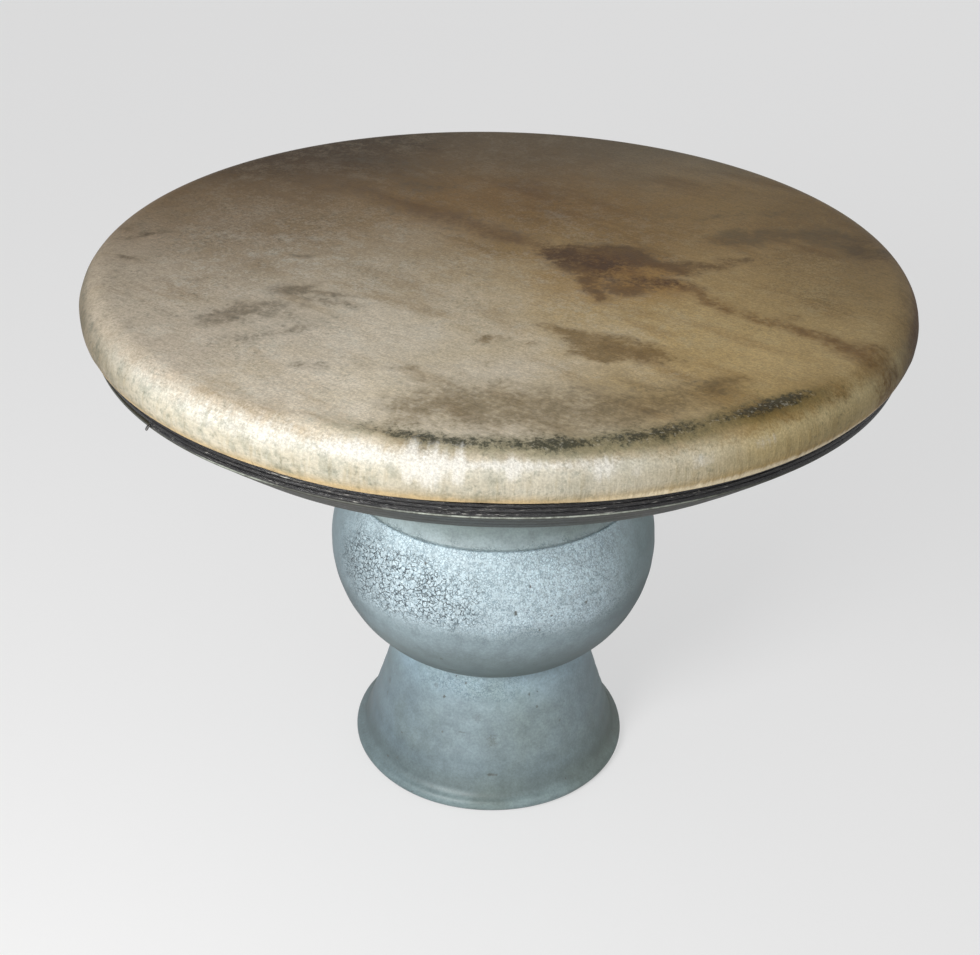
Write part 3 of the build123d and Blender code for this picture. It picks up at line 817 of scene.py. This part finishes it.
    # An amber line along the skin's lower edge: its cut edge, with light through the thin skin painted in, brighter at
    # the front right
    lit_edge = paint.times(paint.step(rightward, 10, 60), paint.step(rightward, 155, 125), paint.step(back, -60, -90))
    amber = paint.mix(lit_edge, (0.62, 0.46, 0.24), (1.0, 0.87, 0.62))
    colour = paint.mix(paint.step(rising, 240.0, 242.2, 0.75, 0), colour, amber)
    colour = paint.mix(paint.times(over, paint.step(streaks, 0.5, 0.68, 0, 0.5)), colour, (0.78, 0.72, 0.6), "MULTIPLY")
    colour = paint.shaded(colour, fibre, 0.89, 1.11)
    smoother = paint.step(height, 244, 256, 1, 0)
    grain_level = paint.plus(paint.times(paint.plus(paint.opened(grain), -0.5), paint.plus(paint.times(smoother, -0.26), 0.42)), 1.0)
    colour = paint.node("ShaderNodeVectorMath", {0: colour, "Scale": grain_level}, operation="SCALE").outputs[0]
    paint.set(Base_Color=colour)
    beads = paint.cells(1.9, paint.shifted(paint.place, 0.8, 2.5, 4), "SMOOTH_F1")
    relief = paint.plus(
        paint.times(grain, 0.3),
        paint.times(fibre, 0.35),
        paint.times(over, paint.plus(paint.times(beads, -0.35), paint.times(streaks, 1.5))),
    )
    paint.set(
        Normal=paint.bump(relief, 0.25),
        Roughness=paint.plus(paint.step(grain, 0.3, 0.7, 0.52, 0.64), paint.times(over, -0.18)),
        Specular_IOR_Level=0.11,
    )
    return paint.material


def glaze_material(name, bands, tint, tones, crevices, crawled, fine_crawl, marks=(), trimmed=None):
    """A satin blue-grey glaze that has crawled into ridges with dark cracks between them, where crawled and fine_crawl
    say so. The ridges are paler rolled glaze with a painted highlight, and the coarse cracks are bare body with painted
    shade in them.

    bands are (height, colour) from the bottom up, and crevices are (height, reach, dashes) of the painted shade along
    seams, scribed lines and the base.
    tones are (axis, low, high, tint): the glaze takes the tint from low on. marks are dark specks, as (azimuth, height,
    half width, half height, strength), and trimmed adds to the colour.
    """
    paint = Paint(name)
    height = paint.axis(paint.place, "Z")
    haze = paint.noise(40, 4, 0.6, seed=2)
    mottle = paint.noise(7, 5, 0.65, seed=4)
    grain = paint.noise(1.1, 3, 0.7, seed=6)
    uneven = paint.plus(height, paint.times(haze, 18), -9)
    colour = bands[0][1]
    for (low, _), (high, shade) in zip(bands, bands[1:]):
        colour = paint.mix(paint.step(uneven, low, high), colour, shade)
    colour = paint.mix(paint.step(haze, 0.42, 0.68, 0, 0.7), colour, tint, "MULTIPLY")
    colour = paint.shaded(colour, mottle, 0.86, 1.14)
    for letter, low, high, shade in tones:
        where = paint.plus(paint.axis(paint.place, letter), paint.times(haze, 12), -6)
        colour = paint.tinted(colour, where, low, high, shade)
    coarse = paint.cells(2.15, paint.shifted(paint.place, 1.3, 2.0, 8), "DISTANCE_TO_EDGE")
    fine = paint.cells(1.2, paint.shifted(paint.place, 0.9, 1.1, 12), "DISTANCE_TO_EDGE")
    coarse_zone = crawled(paint)
    fine_zone = fine_crawl(paint)
    broken = paint.step(paint.noise(2.6, 2, 0.6, seed=14), 0.43, 0.50)
    coarse_gap = paint.times(paint.step(coarse, 0.015, 0.085, 1, 0), coarse_zone, broken)
    fine_gap = paint.times(paint.step(fine, 0.02, 0.17, 1, 0), fine_zone, paint.step(paint.noise(1.8, 2, seed=16), 0.4, 0.52, 0.1, 1))
    ridge = paint.plus(paint.times(paint.step(coarse, 0.04, 0.2), coarse_zone), paint.times(paint.step(fine, 0.05, 0.25), fine_zone, 0.5))
    # Ridges: paler rolled glaze with a painted highlight. Coarse cracks: bare body with painted shade, near black
    colour = paint.mix(paint.times(ridge, 0.45), colour, (1.25, 1.22, 1.2), "MULTIPLY")
    colour = paint.mix(paint.times(fine_gap, 0.8), colour, (0.36, 0.42, 0.46), "MULTIPLY")
    colour = paint.mix(paint.times(coarse_gap, 0.95), colour, (0.035, 0.046, 0.055))
    pinholes = paint.step(paint.cells(8, paint.shifted(paint.place, 2, 5, 18)), 0.03, 0.07, 1, 0)
    pinholes = paint.times(pinholes, paint.step(paint.noise(11, 2, seed=20), 0.46, 0.56))
    colour = paint.mix(paint.times(pinholes, 0.75), colour, (0.09, 0.075, 0.06))
    for place, level, wide, tall, strength in marks:
        turn = math.radians(place)
        round_it = paint.plus(paint.times(paint.axis(paint.place, "Y"), math.cos(turn)), paint.times(paint.axis(paint.place, "X"), -math.sin(turn)))
        facing = paint.plus(paint.times(paint.axis(paint.place, "X"), math.cos(turn)), paint.times(paint.axis(paint.place, "Y"), math.sin(turn)))
        off = paint.sum("POWER", paint.times(round_it, 1 / wide), 2.0)
        off = paint.plus(off, paint.sum("POWER", paint.times(paint.plus(height, -level), 1 / tall), 2.0), paint.times(paint.opened(grain), 0.9))
        speck = paint.times(paint.step(off, 0.4, 2.0, strength, 0), paint.step(facing, 0, 1))
        colour = paint.mix(speck, colour, (0.075, 0.07, 0.05))
    if trimmed:
        colour = trimmed(paint, colour)
    colour = paint.shaded(colour, grain, 0.86, 1.13)
    bare = paint.step(paint.plus(paint.value("inner"), paint.times(paint.plus(mottle, -0.5), 0.2)), 0.4, 0.6)
    floor_ring = paint.step(paint.plus(height, paint.times(mottle, 0.3)), 0.25, 0.5, 1, 0)
    bare = paint.sum("MAXIMUM", bare, floor_ring)
    clay = paint.shaded((0.235, 0.165, 0.115), paint.noise(1.6, 5, 0.7, seed=22), 0.75, 1.2)
    colour = paint.mix(bare, colour, clay)
    glazed = paint.sum("SUBTRACT", 1.0, bare)
    # Painted shade along seams, in scribed lines and at the base
    for level, reach, dashes in crevices:
        away = paint.sum("ABSOLUTE", paint.plus(height, -level))
        line = paint.step(paint.plus(away, paint.times(paint.noise(2.4, 3, seed=24), dashes)), 0.1, reach, 1, 0)
        colour = paint.mix(paint.times(line, 0.92, glazed), colour, (0.018, 0.024, 0.027))
    paint.set(Base_Color=colour)
    relief = paint.plus(
        paint.times(ridge, 1.0),
        paint.times(coarse_gap, -0.9),
        paint.times(mottle, 0.35),
        paint.times(grain, 0.12),
        paint.times(pinholes, -0.8),
    )
    rough = paint.step(paint.plus(paint.times(mottle, 0.5), paint.times(grain, 0.5)), 0.3, 0.7, 0.36, 0.56)
    rough = paint.plus(paint.times(rough, glazed), paint.times(bare, 0.85))
    paint.set(Normal=paint.bump(relief, 0.24), Roughness=rough, Specular_IOR_Level=0.5)
    return paint.material


def around_zone(paint, azimuth, reach, soft):
    """1 within so many degrees of an azimuth, and 0 past a soft edge."""
    flat = paint.node("ShaderNodeVectorMath", {0: paint.scaled(paint.place, (1, 1, 0))}, operation="NORMALIZE").outputs[0]
    towards = (math.cos(math.radians(azimuth)), math.sin(math.radians(azimuth)), 0)
    facing = paint.node("ShaderNodeVectorMath", {0: flat, 1: towards}, operation="DOT_PRODUCT").outputs["Value"]
    facing = paint.plus(facing, paint.times(paint.sum("SUBTRACT", paint.noise(16, 4, 0.6, seed=41), 0.5), 0.3))
    return paint.step(facing, math.cos(math.radians(reach + soft)), math.cos(math.radians(reach - soft)))


def height_zone(paint, low, high, soft):
    """1 between two heights, with ragged soft ends."""
    height = paint.plus(paint.axis(paint.place, "Z"), paint.times(paint.sum("SUBTRACT", paint.noise(9, 4, 0.6, seed=43), 0.5), 14))
    return paint.times(paint.step(height, low - soft, low + soft), paint.step(height, high - soft, high + soft, 1, 0))


def belt_trims(paint, colour):
    """A painted shadow line along the belt's lower edge, and a pale line along the ledge's edge: thin glaze with a
    painted highlight on it.
    """
    height = paint.axis(paint.place, "Z")
    azimuth = paint.plus(paint.azimuth(), paint.times(paint.noise(9, 3, seed=47), 2))
    line = paint.step(azimuth, -101.5, -85, LEDGE_HEIGHT / MM, BELT_BASE / MM + 4)
    off_line = paint.sum("ABSOLUTE", paint.plus(height, paint.times(line, -1), paint.times(paint.noise(3, 3, seed=49), 0.8)))
    # Painted shadow line below the belt, where its underside turns out of sight
    shadow_line = paint.times(paint.step(off_line, 1.0, 2.8, 0.92, 0), paint.step(azimuth, -104, -99), paint.step(azimuth, -62, -50, 1, 0))
    colour = paint.mix(shadow_line, colour, (0.02, 0.022, 0.018))
    # Pale ledge edge: thin glaze with a painted highlight, strongest where it faces the light
    pale_and_lit = paint.step(paint.sum("ABSOLUTE", paint.plus(height, -(LEDGE_HEIGHT - LEDGE_EDGE) / MM)), 0.1, 0.5, 1, 0)
    lit = paint.plus(paint.times(paint.step(azimuth, -104, -96), paint.step(azimuth, -78, -52, 1, 0)), paint.times(paint.step(azimuth, -130, -126), paint.step(azimuth, -119, -114, 1, 0), 0.7), 0.15)
    pale_and_lit = paint.times(pale_and_lit, lit, paint.step(paint.noise(2.5, 3, 0.7, seed=51), 0.3, 0.6, 0.35, 1))
    return paint.mix(paint.times(pale_and_lit, 0.7), colour, (0.50, 0.54, 0.47))


put(
    glaze_material(
        "bulb_crawled_glaze",
        # Much lighter towards the top and dark towards the bottom: painted light and shade
        bands=[(70, (0.10, 0.125, 0.118)), (88, (0.17, 0.22, 0.23)), (103, (0.26, 0.335, 0.365)), (118, (0.58, 0.71, 0.775)), (135, (0.64, 0.785, 0.855))],
        tint=(0.82, 0.83, 0.83),
        # Both sides darkened: painted shade where the chamber turns away
        tones=[("X", -42, -76, (0.34, 0.37, 0.38)), ("X", 42, 74, (0.35, 0.39, 0.37))],
        # Painted shade at the seat on the foot and in the scribed line
        crevices=[(SEAT_HEIGHT / MM, 1.2, 0.6), (COLLAR_HEIGHT / MM, 0.42, 0.8)],
        marks=[(-82, 122, 0.8, 1.3, 0.85), (-57, 121, 0.7, 0.7, 0.7), (-114, 140, 0.6, 0.8, 0.8), (-106, 80, 3.5, 0.6, 0.7), (-108, 90, 1.0, 1.0, 0.4), (-90, 74, 1.2, 0.8, 0.5), (-78, 79, 1.0, 0.9, 0.4)],
        crawled=lambda paint: paint.times(around_zone(paint, -124, 24, 10), height_zone(paint, 112, 141, 6)),
        fine_crawl=lambda paint: paint.times(around_zone(paint, -98, 58, 14), height_zone(paint, 109, 153, 7)),
    ),
    bulb,
)
put(
    glaze_material(
        "foot_satin_glaze",
        # Darker low down and lighter higher up: painted light and shade
        bands=[(-4, (0.18, 0.24, 0.265)), (18, (0.205, 0.27, 0.295)), (30, (0.255, 0.33, 0.36)), (60, (0.29, 0.375, 0.41))],
        tint=(0.88, 0.86, 0.78),
        # Tones: painted shade on the left and right sides and over the lower body, painted light near the top and on
        # the lip
        tones=[("X", -8, -48, (0.74, 0.77, 0.80)), ("X", 44, 66, (0.80, 0.80, 0.75)), ("Z", 44, 60, (1.25, 1.3, 1.35)), ("Z", 19, 10, (0.86, 0.85, 0.80)), ("Z", 9, 4, (1.5, 1.5, 1.5)), ("X", -50, -67, (0.8, 0.8, 0.8))],
        # Under the chamber at the seat, painted shade over a darker glaze; along the base, painted shade
        crevices=[(SEAT_HEIGHT / MM, 1.7, 0.6), (0.5, 1.1, 0.3)],
        marks=[(-116, 51, 0.9, 0.8, 0.75), (-114, 34, 0.7, 0.6, 0.55), (-67, 54, 0.6, 0.9, 0.6), (-63, 47, 0.7, 0.7, 0.55), (-88, 33, 2.6, 3.0, 0.3), (-88, 17, 2.6, 0.7, 0.6), (-122, 55, 1.8, 1.4, 0.3), (-104, 60, 0.6, 0.6, 0.6), (-136, 12, 1.0, 0.8, 0.4), (-96, 44, 2.4, 2.2, 0.22), (-50, 36, 0.6, 0.6, 0.4), (-160, 40, 1.2, 1.6, 0.35), (-158, 34, 1.0, 1.0, 0.3), (-104, 36, 2.4, 0.5, 0.3)],
        crawled=lambda paint: paint.times(around_zone(paint, -118, 8, 6), height_zone(paint, 54, 62, 3), 0.25),
        fine_crawl=lambda paint: paint.times(around_zone(paint, -100, 30, 14), height_zone(paint, 53, 64, 4), 0.7),
    ),
    foot,
)
put(
    glaze_material(
        "bowl_smooth_glaze",
        # Darker up the underside to near black at the belt: painted shade under the overhanging head
        bands=[(147, (0.37, 0.455, 0.475)), (156, (0.26, 0.325, 0.325)), (172, (0.17, 0.205, 0.195)), (208, (0.10, 0.115, 0.10)), (219, (0.027, 0.026, 0.019))],
        tint=(0.84, 0.84, 0.8),
        tones=[("X", -70, -150, (0.8, 0.8, 0.8))],
        # Painted shade in the scribed line; the belt gets a painted shadow line and a pale ledge edge with a painted
        # highlight
        crevices=[(COLLAR_HEIGHT / MM, 0.42, 0.8)],
        trimmed=belt_trims,
        crawled=lambda paint: paint.times(around_zone(paint, -120, 20, 9), height_zone(paint, 145, 149, 2), 0.3),
        fine_crawl=lambda paint: paint.times(around_zone(paint, -100, 62, 12), height_zone(paint, 145, 149, 2)),
    ),
    bowl,
)
put(goatskin_material(), skin)


def waxed_cord_material():
    paint = Paint("black_waxed_cord")
    lay = paint.vector("lay")
    strand = paint.noise(1.0, 3, 0.6, paint.scaled(lay, (0.08, 3.0, 3.0)))
    fibre = paint.noise(1.0, 3, 0.65, paint.scaled(lay, (0.25, 8.0, 8.0)), seed=3)
    bloom = paint.noise(1.0, 4, 0.65, paint.scaled(lay, (0.30, 3.4, 3.4)), seed=7)
    glint_drift = paint.noise(1.0, 3, 0.6, paint.scaled(lay, (0.03, 0.5, 0.5)), seed=11)
    colour = paint.mix(paint.step(strand, 0.4, 0.7), (0.007, 0.007, 0.009), (0.032, 0.031, 0.031))
    # Glints: pale wax bloom with painted highlights, most where the cord faces the front left
    pale_and_lit = paint.sum("COSINE", paint.times(paint.plus(paint.azimuth(), 100), math.radians(1)))
    glints = paint.step(paint.plus(paint.times(bloom, 0.75), paint.times(fibre, 0.25), paint.times(glint_drift, 0.4), paint.times(pale_and_lit, 0.13)), 0.93, 1.04, 0, 0.9)
    colour = paint.mix(glints, colour, (0.72, 0.70, 0.64))
    colour = paint.shaded(colour, fibre, 0.55, 1.45)
    relief = paint.plus(paint.times(strand, 1.0), paint.times(fibre, 0.5))
    paint.set(
        Base_Color=colour,
        Normal=paint.bump(relief, 0.3),
        Roughness=paint.step(paint.plus(paint.times(strand, 0.5), paint.times(bloom, 0.5)), 0.35, 0.65, 0.2, 0.42),
        Specular_IOR_Level=0.5,
    )
    return paint.material


def glue_material():
    paint = Paint("dried_hide_glue")
    lump = paint.noise(2.4, 4, 0.6)
    colour = paint.mix(paint.step(lump, 0.35, 0.7), (0.42, 0.30, 0.16), (0.58, 0.46, 0.28))
    colour = paint.shaded(colour, paint.noise(0.7, 2, seed=3), 0.88, 1.1)
    paint.set(Base_Color=colour, Normal=paint.bump(lump, 0.15), Roughness=paint.step(lump, 0.3, 0.7, 0.25, 0.5))
    return paint.material


put(waxed_cord_material(), winding, lower_knot, upper_knot, tail)
put(glue_material(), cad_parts["skin_glue_line"])

# The camera, as the photograph's outlines place it

def camera_at(place, right, up, forward, lens):
    data = bpy.data.cameras.new("camera")
    data.lens = lens
    data.sensor_width = 36
    data.clip_start, data.clip_end = 0.02, 50
    camera = bpy.data.objects.new("camera", data)
    bpy.context.scene.collection.objects.link(camera)
    axes = Matrix((Vector(right), Vector(up), -Vector(forward))).transposed()
    camera.matrix_world = Matrix.Translation(Vector(place)) @ axes.to_4x4()
    bpy.context.scene.camera = camera
    return camera


camera = camera_at(
    place=(0, -0.64054, 0.51945),
    right=(0.999691, 0.014990, 0.019853),
    up=(-0.024701, 0.503656, 0.863551),
    forward=(-0.002945, 0.863774, -0.503871),
    lens=58.4415,
)

# The floor and the light

def floor_disc(radius, rings, around):
    distance = radius * np.linspace(0, 1, rings)[1:, None]
    azimuth = np.arange(around)[None, :] * math.tau / around
    points = np.stack((distance * np.cos(azimuth), distance * np.sin(azimuth), 0 * distance * azimuth), axis=-1)
    loops = [loop[::-1] for loop in quads(rings - 1, around, False)]
    loops.append(list(range(around)))
    mesh = bpy.data.meshes.new("floor")
    mesh.from_pydata(points.reshape(-1, 3).tolist(), [], loops)
    floor = bpy.data.objects.new("floor", mesh)
    bpy.context.scene.collection.objects.link(floor)
    return floor


floor = floor_disc(5, 12, 96)
floor_paint = Paint("pale_floor")
floor_paint.set(
    Base_Color=floor_paint.mix(floor_paint.noise(300, 2), (0.80, 0.80, 0.81), (0.83, 0.83, 0.835)),
    Roughness=0.7,
    Specular_IOR_Level=0.2,
)
white = floor_paint.node("ShaderNodeEmission", {"Color": (1, 1, 1), "Strength": 1.0})
lifted = floor_paint.times(floor_paint.node("ShaderNodeLightPath").outputs["Is Camera Ray"], 0.55)
seen_floor = floor_paint.node("ShaderNodeMixShader", {0: lifted, 1: floor_paint.shader.outputs[0], 2: white.outputs[0]})
floor_paint.tree.links.new(seen_floor.outputs[0], floor_paint.tree.nodes["Material Output"].inputs["Surface"])
put(floor_paint.material, floor)


def area_light(name, place, aim, size, power, colour):
    data = bpy.data.lights.new(name, "AREA")
    data.shape = "DISK"
    data.size = size
    data.energy = power
    data.color = colour
    light = bpy.data.objects.new(name, data)
    bpy.context.scene.collection.objects.link(light)
    light.location = place
    light.rotation_mode = "QUATERNION"
    light.rotation_quaternion = (Vector(aim) - Vector(place)).to_track_quat("-Z", "Y")
    light.visible_camera = False


area_light("key_light", (-0.37, -0.62, 0.52), (0, 0, 0.18), 0.30, 4.9, (1.0, 0.99, 0.975))
area_light("back_fill", (0.9, 2.4, 1.7), (0, 0, 0.15), 1.6, 3.0, (0.96, 0.98, 1.0))

world = bpy.data.worlds.new("studio")
bpy.context.scene.world = world
world.use_nodes = True
nodes, links = world.node_tree.nodes, world.node_tree.links
background = nodes["Background"]
background.inputs["Color"].default_value = (1, 1, 1, 1)
rays = nodes.new("ShaderNodeLightPath")
seen = rays.outputs["Is Camera Ray"]
for output in ("Is Glossy Ray", "Is Transmission Ray"):
    either = nodes.new("ShaderNodeMath")
    either.operation = "MAXIMUM"
    links.new(seen, either.inputs[0])
    links.new(rays.outputs[output], either.inputs[1])
    seen = either.outputs[0]
strength = nodes.new("ShaderNodeMapRange")
strength.inputs["To Min"].default_value = 0.34
strength.inputs["To Max"].default_value = 1.0
links.new(seen, strength.inputs["Value"])
links.new(strength.outputs[0], background.inputs["Strength"])

bpy.context.scene.view_settings.view_transform = "Standard"
